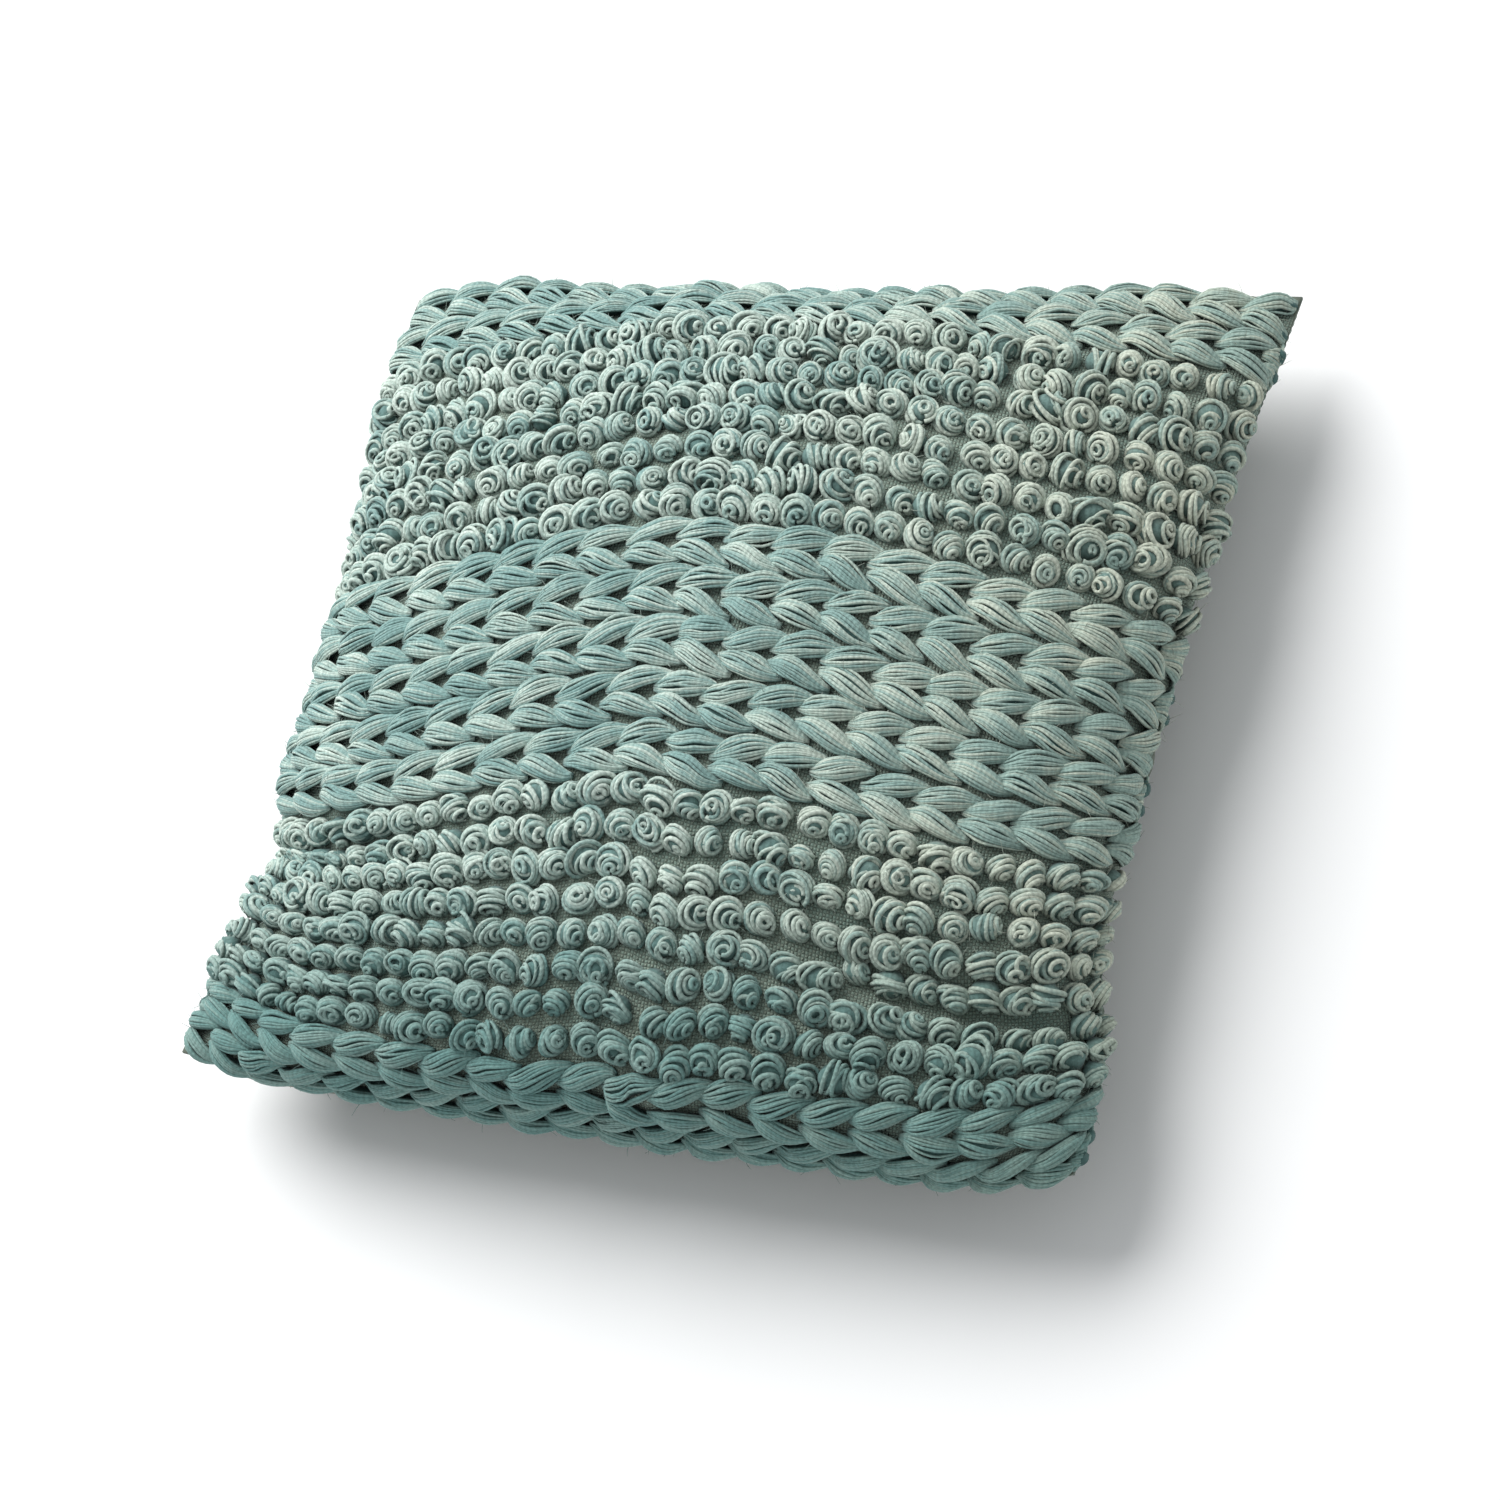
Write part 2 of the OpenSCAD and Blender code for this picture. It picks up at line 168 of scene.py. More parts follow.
def inflate(front, back):
    """Blows the cover up with Blender's Cloth, so that its sides pull in as stuffing makes them."""
    front_ids, back_ids, faces = cover_topology()
    points = np.zeros((back_ids.max() + 1, 3))
    points[back_ids] = back
    points[front_ids] = front
    obj = new_mesh("cover_simulation", points, faces)
    cloth = obj.modifiers.new("Cloth", "CLOTH")
    settings = cloth.settings
    settings.quality = 6
    settings.mass = 0.3
    settings.tension_stiffness = 15
    settings.compression_stiffness = 15
    settings.shear_stiffness = 6
    settings.bending_stiffness = 0.5
    settings.bending_damping = 0.5
    settings.air_damping = 2
    settings.use_pressure = True
    settings.uniform_pressure_force = 4
    settings.effector_weights.gravity = 0
    cloth.collision_settings.use_collision = False
    cloth.collision_settings.use_self_collision = False
    last_frame = 18
    cloth.point_cache.frame_start = 1
    cloth.point_cache.frame_end = last_frame
    for step in range(1, last_frame + 1):
        bpy.context.scene.frame_set(step)
    evaluated = obj.evaluated_get(bpy.context.evaluated_depsgraph_get())
    mesh = evaluated.to_mesh()
    moved = np.zeros(len(mesh.vertices) * 3)
    mesh.vertices.foreach_get("co", moved)
    evaluated.to_mesh_clear()
    bpy.context.scene.frame_set(1)
    bpy.data.objects.remove(obj)
    moved = moved.reshape(-1, 3)
    return moved[front_ids], moved[back_ids]


def relax(grid, times):
    """Evens out a grid of points, and leaves its outer ring where it is."""
    grid = grid.copy()
    for _ in range(times):
        inner = (grid[:-2, 1:-1] + grid[2:, 1:-1] + grid[1:-1, :-2] + grid[1:-1, 2:]) / 4
        grid[1:-1, 1:-1] = (grid[1:-1, 1:-1] + inner) / 2
    return grid


def edge_pulls(u, v):
    """How far the left, right, top and bottom edges stand in from the corners' box."""
    left = 24 * MM * (1 - v**2) + 9 * MM * bump(v, -0.62, 0.22)
    right = 18 * MM * (1 - v**2) + 6 * MM * bump(v, -0.45, 0.25)
    top = 11 * MM * (1 - u**2)
    bottom = -3 * MM * (1 - u**2)
    return left, right, top, bottom


def corner_shift(u, v):
    """The pillow lies a little askew: each corner is off its square place by a few millimetres."""
    moves = [(-1, 1, -7, -10), (1, 1, 6, 5), (1, -1, -2.5, -5), (-1, -1, 3.5, 9)]
    x = sum((1 + a * u) * (1 + b * v) / 4 * dx for a, b, dx, dy in moves)
    y = sum((1 + a * u) * (1 + b * v) / 4 * dy for a, b, dx, dy in moves)
    return x * MM, y * MM


def seam_height(u, v):
    """Height of the edge seam: it dips in the middle of the bottom edge."""
    corner = 4 * MM * (u * v) ** 2
    dip = 9 * MM * smooth(-v) * (1 - u**2)
    return SEAM_Z - corner - dip


def dome(u, v):
    """The stuffed front's rise, from 0 at the seams to 1 in the middle. It slopes gently from the
    top and left edges and drops steeply to the bottom edge, where the filling has settled."""
    return (1 - u**2) ** (0.86 - 0.14 * u) * (1 - v**2) ** (0.72 + 0.46 * v)


def creases(u, v):
    """Depth of the two dents low on the front, one from the right edge and one from the left."""
    right = 10 * MM * smooth((u - 0.2) / 0.4) * bump(v, -0.52 - 0.17 * (u - 0.35), 0.075)
    left = 12 * MM * smooth((-u - 0.35) / 0.5) * bump(v, -0.33 - 0.08 * (1 + u), 0.085)
    return right + left


def even_out(grid, times):
    """Slides the points along the grid's lines until each line's points are evenly spaced, as they
    are in a cloth that doesn't stretch."""
    even = np.linspace(0, 1, GRID)
    for _ in range(times):
        for axis in (0, 1):
            lines = np.moveaxis(grid, axis, 1).copy()
            for line in lines:
                length = distances(line)
                for k in range(3):
                    line[:, k] = np.interp(even, length / length[-1], line[:, k])
            grid = np.moveaxis(lines, 1, axis)
    return grid


def slump(grid, u, v):
    """Lets the front cloth slide down, most at its left and right ends, so that its rows arch."""
    slide = (0.02 + 0.16 * smooth(-u) ** 0.8 + 0.09 * smooth(u)) * (1 - v**2) ** 1.5
    places = np.linspace(-1, 1, GRID)
    moved = grid.copy()
    for i in range(GRID):
        for k in range(3):
            moved[:, i, k] = np.interp(v[:, i] - slide[:, i], places, grid[:, i, k])
    return moved


def swell(grid):
    """How far each point of a blown-up grid stands off the seam, from 0 on the seam to 1 at most."""
    rise = np.abs(grid[..., 2])
    return np.clip(rise / rise.max(), 0, 1)


def shape_cover():
    """Front and back grids of the stuffed cover at rest on its back."""
    _, u, v = unit_grid(GRID)
    front, back = flat_cover(u, v)
    front, back = inflate(front, back)
    front, back = relax(front, 6), relax(back, 12)
    left, right, top, bottom = edge_pulls(u, v)
    shift_x, shift_y = corner_shift(u, v)
    rounding = 1 - np.where(u * v < 0, 0.045, 0.015) * (u * v) ** 8
    base = seam_height(u, v)
    uneven = swell(front) / np.maximum(swell(relax(front, 60)), 0.05) - 1
    full = dome(u, v) * (1 + WRINKLES * np.clip(uneven, -0.2, 0.2))
    heights = [base + (CROWN_TOP - SEAM_Z) * full]
    sunk = base - BACK_DEPTH * swell(back) ** BACK_SOFTNESS
    heights.append(FLOOR_Z + FLOOR_GIVE * np.logaddexp(0, (sunk - FLOOR_Z) / FLOOR_GIVE))
    shaped = []
    for grid, height in zip((front, back), heights):
        x = grid[..., 0] * HALF_X / front[0, -1, 0]
        y = grid[..., 1] * HALF_Y / front[-1, 0, 1]
        gain_x = np.where(u > 0, (HALF_X - right) - x[:, -1:], -(HALF_X - left) - x[:, :1])
        gain_y = np.where(v > 0, (HALF_Y - top) - y[-1:, :], -(HALF_Y - bottom) - y[:1, :])
        x = (x + gain_x * np.abs(u) ** 1.6) * rounding + shift_x
        y = (y + gain_y * np.abs(v) ** 1.6) * rounding + shift_y
        shaped.append(np.stack([x, y, height], -1))
    front, back = shaped
    ring = np.ones((GRID, GRID), bool)
    ring[1:-1, 1:-1] = False
    back[ring] = front[ring]
    front, back = even_out(front, 3), even_out(back, 3)
    front = slump(front, u, v)
    front[..., 2] -= creases(u, v)
    return front, back


def refine(grid, times):
    """The same grid with each cell cut into times cells, along Catmull-Rom curves."""
    for axis in (0, 1):
        grid = np.moveaxis(grid, axis, 0)
        padded = np.concatenate([2 * grid[:1] - grid[1:2], grid, 2 * grid[-1:] - grid[-2:-1]])
        p0, p1, p2, p3 = padded[:-3], padded[1:-2], padded[2:-1], padded[3:]
        parts = []
        for k in range(times):
            t = k / times
            parts.append(
                0.5 * (2 * p1 + (p2 - p0) * t + (2 * p0 - 5 * p1 + 4 * p2 - p3) * t**2
                       + (3 * p1 - p0 - 3 * p2 + p3) * t**3)
            )
        cut = np.stack(parts, 1).reshape(-1, *grid.shape[1:])
        grid = np.moveaxis(np.concatenate([cut, grid[-1:]]), 0, axis)
    return grid


class Cloth:
    """One face of the stuffed cover. Looks up a place on the flat cloth, in metres from its middle."""

    def __init__(self, grid, outward):
        self.grid = refine(grid, FINE)
        self.normals = grid_normals(self.grid, outward)

    def look_up(self, table, x, y):
        n = table.shape[0] - 1
        i = np.clip((x / FLAT + 0.5) * n, 0, n - 1e-6)
        j = np.clip((y / FLAT + 0.5) * n, 0, n - 1e-6)
        i0, j0 = i.astype(int), j.astype(int)
        a, b = (i - i0)[..., None], (j - j0)[..., None]
        low = table[j0, i0] * (1 - a) + table[j0, i0 + 1] * a
        high = table[j0 + 1, i0] * (1 - a) + table[j0 + 1, i0 + 1] * a
        return low * (1 - b) + high * b

    def at(self, x, y, height=0.0):
        """Points over the cloth, and the cloth's normals there."""
        normal = unit(self.look_up(self.normals, x, y))
        return self.look_up(self.grid, x, y) + normal * np.asarray(height)[..., None], normal


# ---------------------------------------------------------------- yarn
def tube_corners(u0, u1, v0, v1):
    """Layout places of the four corners of each side face of the tubes."""
    return np.stack([np.stack([u0, v0], -1), np.stack([u0, v1], -1),
                     np.stack([u1, v1], -1), np.stack([u1, v0], -1)], 3).reshape(-1, 2)


def tubes(name, paths, normals, radii, sides, cell_rows, tones):
    """Closed tubes along paths, an array of (tube, point, 3). cell_rows is how many tubes share one
    column of the bake layout. tones gives named values per tube. Known fault: the faces are wound
    inside out, so that their normals point into the tube."""
    count, points, _ = paths.shape
    tangent = unit(np.gradient(paths, axis=1))
    side = unit(np.cross(tangent, normals))
    up = np.cross(side, tangent)
    angle = 2 * np.pi * np.arange(sides) / sides
    ring = side[:, :, None] * np.cos(angle)[:, None] + up[:, :, None] * np.sin(angle)[:, None]
    verts = paths[:, :, None] + ring * radii[:, :, None, None]
    index = np.arange(count * points * sides).reshape(count, points, sides)
    after = np.roll(index, -1, axis=2)
    quads = np.stack([index[:, :-1], after[:, :-1], after[:, 1:], index[:, 1:]], -1)
    faces = quads.reshape(-1, 4)
    half = sides // 2
    caps = []
    for end, order in ((0, -1), (points - 1, 1)):
        for k in range(half - 1):
            picks = [k, k + 1, sides - 2 - k, sides - 1 - k][::order]
            caps.append(index[:, end][:, picks])
    obj = new_mesh(name, verts, np.concatenate([faces, *[c.reshape(-1, 4) for c in caps]]))
    length = np.concatenate(
        [np.zeros((count, 1)), np.cumsum(np.linalg.norm(np.diff(paths, axis=1), axis=2), axis=1)], 1
    )
    around = np.arange(sides + 1) / sides
    along = length / MM
    u0 = np.broadcast_to(along[:, :-1, None], (count, points - 1, sides))
    u1 = np.broadcast_to(along[:, 1:, None], (count, points - 1, sides))
    v0 = np.broadcast_to(around[:-1], u0.shape)
    v1 = np.broadcast_to(around[1:], u0.shape)
    yarn = tube_corners(u0, u1, v0, v1)
    cap_corners = len(caps) * count * 4
    corner_uv(obj, "Yarn", np.concatenate([yarn, np.zeros((cap_corners, 2))]))
    bake = bake_cells(count, points, sides, cell_rows)
    corner_uv(obj, "OFBake", np.concatenate([bake, np.full((cap_corners, 2), 0.0005)]))
    for key, value in tones.items():
        point_value(obj, key, np.repeat(value, points * sides))
    return obj


def bake_cells(count, points, sides, cell_rows):
    """Each tube unrolled into its own cell of the square: columns of cell_rows cells."""
    columns = math.ceil(count / cell_rows)
    inset = 0.08
    k = np.arange(count)
    column, row = k // cell_rows, k % cell_rows
    p = (np.arange(points) / (points - 1)) * (1 - 2 * inset) + inset
    a = (np.arange(sides + 1) / sides) * (1 - 2 * inset) + inset
    u = (column[:, None] + p) / columns
    v = (row[:, None] + a) / cell_rows
    shape = (count, points - 1, sides)
    u0 = np.broadcast_to(u[:, :-1, None], shape)
    u1 = np.broadcast_to(u[:, 1:, None], shape)
    v0 = np.broadcast_to(v[:, None, :-1], shape)
    v1 = np.broadcast_to(v[:, None, 1:], shape)
    return tube_corners(u0, u1, v0, v1)


def row_layout():
    """Every yarn row from the bottom edge up: (kind, number in its kind, place in its band, y)."""
    pitches = {"braid": BRAID_PITCH, "loops": LOOP_PITCH}
    whole = sum(pitches[kind] * count for kind, count in BANDS)
    share = (FLAT - 2 * HEM) / whole
    y = -FLAT / 2 + HEM
    numbers = {"braid": 0, "loops": 0}
    rows = []
    for kind, count in BANDS:
        for place in range(count):
            pitch = pitches[kind] * share
            numbers[kind] += 1
            rows.append((kind, numbers[kind], place, y + pitch / 2))
            y += pitch
    return rows


def bundle(name, points, normals, radii, strand_tone, lobe_tone):
    """Tubes from arrays of (bundle, strand, point): one mesh for a row of lobes or loops."""
    bundles, strands, count, _ = points.shape
    tones = {"strand_tone": strand_tone.ravel(), "lobe_tone": lobe_tone.ravel()}
    flat = (bundles * strands, count)
    return tubes(name, points.reshape(*flat, 3), normals.reshape(*flat, 3), radii.reshape(flat), 6,
                 strands, tones)


CORE_SHADE_TONE = -0.6  # strand tone of the core tube inside a lobe or a knot, which takes the painted shade colour
STRANDS = 12
STRAND = 0.74 * MM  # radius of a strand of the braid
LOBES = 20
LOBE_POINTS = 13


def braid_row(cloth, number, place, y, phase):
    """A row of lobes that lean one way. Each lobe is a bundle of strands, fat in its middle, whose
    left tip lies on the tail of the lobe before it."""
    lean = 1 if place % 2 else -1
    pitch = (FLAT - 2 * HEM) / LOBES
    k = np.arange(-1, LOBES + 1)
    count = len(k)
    start = -FLAT / 2 + HEM + (k + phase) * pitch + random.normal(0, 0.5 * MM, count)
    length = 30 * MM + random.normal(0, 1.2 * MM, count)
    half_lean = 2.7 * MM + random.normal(0, 0.45 * MM, count)
    half_width = 4.9 * MM + random.normal(0, 0.35 * MM, count)
    tall = random.normal(1, 0.07, count)
    q = np.linspace(0, 1, LOBE_POINTS)
    x = start[:, None] + length[:, None] * q
    sway = -np.cos(np.pi * q)
    y_mid = y + random.normal(0, 0.4 * MM, count)[:, None] + lean * half_lean[:, None] * sway
    body = np.sin(np.pi * (0.07 + 0.87 * q)) ** 0.72
    taper = body * (1 - 0.45 * q**4) * (0.72 + 0.28 * smooth(q / 0.22))
    centre = (0.9 + 3.0 * smooth(q / 0.3) - 3.0 * smooth((q - 0.45) / 0.55)) * MM
    thick = 3.0 * MM
    dx, dy = np.gradient(x, axis=1), np.gradient(y_mid, axis=1)
    norm = np.hypot(dx, dy)
    px, py = -dy / norm, dx / norm
    fan = np.radians(np.linspace(-82, 82, STRANDS))
    jitter = random.normal(0, 0.035, (count, STRANDS))
    twist = np.radians(22) * (q - 0.5)
    phi = fan[None, :, None] + jitter[:, :, None] + lean * twist[None, None, :]
    wobble = random.normal(0, 1, (count, STRANDS, 3))
    wave = sum(
        wobble[:, :, m, None] * np.sin(np.pi * (m + 1) * q + m) for m in range(3)
    ) * 0.21 * MM
    aside = half_width[:, None, None] * taper * np.sin(phi) + wave
    lift = centre * tall[:, None, None] + thick * taper * np.cos(phi) + 0.5 * wave
    sx = x[:, None] + px[:, None] * aside
    sy = y_mid[:, None] + py[:, None] * aside
    low = 1 - smooth((np.abs(sx) - YARN_EDGE + 6 * MM) / (6 * MM))
    sx = np.clip(sx, -YARN_EDGE, YARN_EDGE)
    sy = np.clip(sy, -YARN_EDGE, YARN_EDGE)
    shape = (count * STRANDS, LOBE_POINTS)
    height = np.maximum(lift * (0.35 + 0.65 * low), 0.2 * MM)
    points, normals = cloth.at(sx.reshape(shape), sy.reshape(shape), height.reshape(shape))
    radius = STRAND * random.normal(1, 0.12, (count, STRANDS, 1)) * (0.75 + 0.25 * np.sin(np.pi * q))
    core_lift = 0.75 * centre * tall[:, None] * (0.35 + 0.65 * low[:, STRANDS // 2])
    core = cloth.at(np.clip(x, -YARN_EDGE, YARN_EDGE), y_mid, np.maximum(core_lift, 0.2 * MM))
    core_radius = 0.66 * half_width[:, None] * taper
    points = np.concatenate([points.reshape(count, STRANDS, LOBE_POINTS, 3), core[0][:, None]], 1)
    normals = np.concatenate([normals.reshape(count, STRANDS, LOBE_POINTS, 3), core[1][:, None]], 1)
    radius = np.concatenate([radius, core_radius[:, None]], 1)
    used = np.ptp(sx, axis=2).max(1) > 6 * MM
    strand = random.random((count, STRANDS + 1))
    # The core tube is painted in the shade colour, for the shade between the strands.
    strand[:, -1] = CORE_SHADE_TONE
    lobe = np.repeat(random.random((count, 1)), STRANDS + 1, 1)
    return bundle(f"yarn_braid_{number:02d}", points[used], normals[used], radius[used], strand[used],
                  lobe[used])


LOOPS = 32
LOOP_STRANDS = 7
LOOP_POINTS = 19
LOOP_STRAND = 1.02 * MM  # radius of a strand of a loop
KNOT = 6.15 * MM  # radius of the ball that the middles of a knot's strands lie on


def parting(x, y):
    """How far loops move up or down the cloth where the rows gape over a bare strip of the ground."""
    u = x / (FLAT / 2)
    middle = (-0.53 - 0.17 * (u - 0.35)) * FLAT / 2
    reach = 4.5 * MM * smooth((u - 0.15) / 0.35) * smooth((1.0 - u) / 0.15)
    return np.sign(y - middle) * reach * np.exp(-np.abs(y - middle) / (28 * MM))


def loop_row(cloth, number, y):
    """A row of pulled loops, each curled up into a round knot. Its strands wind round a ball whose
    pole leans to the lower right, so that they show as arcs over the knot's top."""
    pitch = (FLAT - 2 * HEM) / LOOPS
    k = np.arange(LOOPS)
    xc = -FLAT / 2 + HEM + (k + 0.5) * pitch + random.normal(0, 0.9 * MM, LOOPS)
    yc = y + random.normal(0, 0.9 * MM, LOOPS)
    yc = yc + parting(xc, yc)
    loose = random.random(LOOPS) < 0.3
    size = np.clip(random.normal(1, 0.08, LOOPS), 0.84, 1.18) * np.where(loose, 1.08, 1)
    lean = np.radians(random.normal(56, 17, LOOPS))
    heading = np.radians(random.normal(-55, 38, LOOPS))
    pole = np.stack([np.sin(lean) * np.cos(heading), np.sin(lean) * np.sin(heading), np.cos(lean)], -1)
    pole = unit(pole[:, None] + random.normal(0, 0.13, (LOOPS, LOOP_STRANDS, 3)))
    over = unit(np.array([0.0, 0.0, 1.0]) - pole * pole[..., 2:])
    beside = np.cross(over, pole)
    q = np.linspace(0, 1, LOOP_POINTS)
    sweep = np.radians(random.normal(335, 26, (LOOPS, LOOP_STRANDS)))
    begin = np.radians(random.normal(-172, 18, LOOPS))[:, None] + random.normal(0, 0.12, sweep.shape)
    theta = begin[..., None] + sweep[..., None] * q
    messy = random.normal(0, 1, (LOOPS, LOOP_STRANDS, 3))
    wave = sum(messy[:, :, m, None] * np.sin(np.pi * (m + 1) * q + 2 * m) for m in range(3))
    wave = wave * np.where(loose, 0.10, 0.055)[:, None, None]
    closing = 1.05 - 0.30 * smooth((q - 0.3) / 0.7)
    polar = np.radians(np.linspace(17, 112, LOOP_STRANDS))[:, None] * closing + wave
    ball = KNOT * size[:, None, None] * (1 + 0.6 * wave + random.normal(0, 0.06, (LOOPS, LOOP_STRANDS, 1)))
    turn = np.cos(theta)[..., None] * over[:, :, None] + np.sin(theta)[..., None] * beside[:, :, None]
    spot = np.sin(polar)[..., None] * turn + np.cos(polar)[..., None] * pole[:, :, None]
    spot = spot * ball[..., None]
    spot = spot * random.normal((1.06, 0.97, 0.95), 0.07, (LOOPS, 3))[:, None, None]
    x = np.clip(xc[:, None, None] + spot[..., 0], -YARN_EDGE, YARN_EDGE)
    middle = 2.2 * MM * size
    height = np.maximum(middle[:, None, None] + spot[..., 2], 0.1 * MM)
    points, normals = cloth.at(x, yc[:, None, None] + spot[..., 1], height)
    thickness = LOOP_STRAND * random.normal(1, 0.12, (LOOPS, LOOP_STRANDS, 1)) * np.ones(LOOP_POINTS)
    span = 2 * q - 1
    core_x = np.clip(xc[:, None] + 0.98 * KNOT * size[:, None] * span, -YARN_EDGE, YARN_EDGE)
    core = cloth.at(core_x, yc[:, None] + 0 * span, middle[:, None] + 0 * core_x)
    core_radius = 0.92 * KNOT * size[:, None] * np.sqrt(np.clip(1 - span**2, 0.01, 1))
    points = np.concatenate([points, core[0][:, None]], 1)
    normals = np.concatenate([normals, core[1][:, None]], 1)
    thickness = np.concatenate([thickness, core_radius[:, None]], 1)
    strand = random.random((LOOPS, LOOP_STRANDS + 1))
    # The knot's core tube takes a lighter painted shade than a lobe's.
    strand[:, -1] = 0.6 * CORE_SHADE_TONE
    lobe = np.repeat(random.random((LOOPS, 1)), LOOP_STRANDS + 1, 1)
    return bundle(f"yarn_loops_{number:02d}", points, normals, thickness, strand, lobe)


FIBRES = 5400
FIBRE_POINTS = 5


def stray_fibres(rows):
    """Fine curling fibres. Each starts at one of the points of surface_points, and so on the
    underside of a strand."""
    starts = np.concatenate([points for points, _ in rows])
    normals = np.concatenate([normal for _, normal in rows])
    picks = random.choice(len(starts), FIBRES, replace=False)
    start, normal = starts[picks], normals[picks]
    q = np.linspace(0, 1, FIBRE_POINTS)
    away = unit(normal * 0.45 + random.normal(0, 0.75, start.shape))
    away = unit(away + normal * np.maximum(0.1 - (away * normal).sum(1), 0)[:, None])
    curl = np.cross(away, unit(random.normal(0, 1, start.shape)))
    length = random.uniform(3.0, 7.5, FIBRES) * MM
    bend = random.uniform(0.1, 0.5, FIBRES)
    run = length[:, None] * q
    paths = start[:, None] + run[..., None] * away[:, None] + (
        (length * bend)[:, None] * q**2)[..., None] * curl[:, None]
    radii = 0.15 * MM * (1 - 0.6 * q) * np.ones((FIBRES, 1))
    tones = {"strand_tone": random.uniform(0.7, 1.2, FIBRES), "lobe_tone": random.random(FIBRES)}
    sides = np.broadcast_to(normal[:, None], paths.shape)
    return tubes("yarn_fibres", paths, sides, radii, 4, 70, tones)


def surface_points(obj):
    """Points of a yarn row to start fibres from, with their normals. The normals point into the yarn
    (see tubes), so the points kept, those whose normals point up, are on the strands' undersides."""
    count = len(obj.data.vertices)
    points = np.empty(count * 3)
    normals = np.empty(count * 3)
    obj.data.vertices.foreach_get("co", points)
    obj.data.vertex_normals.foreach_get("vector", normals)
    points, normals = points.reshape(-1, 3), normals.reshape(-1, 3)
    shown = normals[:, 2] > 0
    return points[shown], normals[shown]


# ---------------------------------------------------------------- materials
def node_tree(name, roughness=0.9, sheen=0.0, specular=0.3, metallic=0.0):
    material = bpy.data.materials.new(name)
    material.use_nodes = True
    tree = material.node_tree
    tree.nodes.clear()
    shader = tree.nodes.new("ShaderNodeBsdfPrincipled")
    output = tree.nodes.new("ShaderNodeOutputMaterial")
    tree.links.new(shader.outputs["BSDF"], output.inputs["Surface"])
    values = {"Roughness": roughness, "Sheen Weight": sheen, "Sheen Roughness": 0.5,
              "Specular IOR Level": specular, "Metallic": metallic}
    for key, value in values.items():
        shader.inputs[key].default_value = value
    return material, tree, shader


def add(tree, kind, inputs=(), **settings):
    """A node with its settings, its plain inputs set and its other inputs linked."""
    made = tree.nodes.new(kind)
    for key, value in settings.items():
        setattr(made, key, value)
    for key, value in dict(inputs).items():
        if isinstance(value, bpy.types.NodeSocket):
            tree.links.new(value, made.inputs[key])
        else:
            made.inputs[key].default_value = value
    return made


def calc(tree, operation, a, b=0.0):
    return add(tree, "ShaderNodeMath", {0: a, 1: b}, operation=operation).outputs[0]


def mix(tree, share, a, b, blend="MIX"):
    return add(tree, "ShaderNodeMix", {0: share, 6: a, 7: b}, data_type="RGBA", blend_type=blend,
               clamp_factor=True).outputs[2]


def rgb(r, g, b):
    return (r, g, b, 1.0)


PALE = rgb(0.60, 0.70, 0.63)
SAGE = rgb(0.43, 0.555, 0.50)
TEAL = rgb(0.24, 0.39, 0.37)
# Painted shade colour for the yarn low on the pillow.
DEEP_LOW_SHADE = rgb(0.12, 0.25, 0.235)
SHADE = rgb(0.07, 0.14, 0.13)
STRAW = rgb(0.48, 0.46, 0.33)


def spread(tree, value, low, high, to_low=0.0, to_high=1.0):
    """value mapped from low..high to to_low..to_high, and held there beyond."""
    made = add(tree, "ShaderNodeMapRange", {"Value": value, "From Min": low, "From Max": high,
                                            "To Min": to_low, "To Max": to_high})
    return made.outputs[0]


def grey(tree, value):
    return add(tree, "ShaderNodeCombineColor", {0: value, 1: value, 2: value}).outputs[0]


def noise(tree, place, scale, detail=2.0):
    made = add(tree, "ShaderNodeTexNoise", {"Vector": place, "Scale": scale, "Detail": detail})
    return made.outputs["Fac"]


def set_relief(tree, shader, height, strength, distance):
    bumped = add(tree, "ShaderNodeBump", {"Height": height, "Strength": strength, "Distance": distance})
    tree.links.new(bumped.outputs["Normal"], shader.inputs["Normal"])


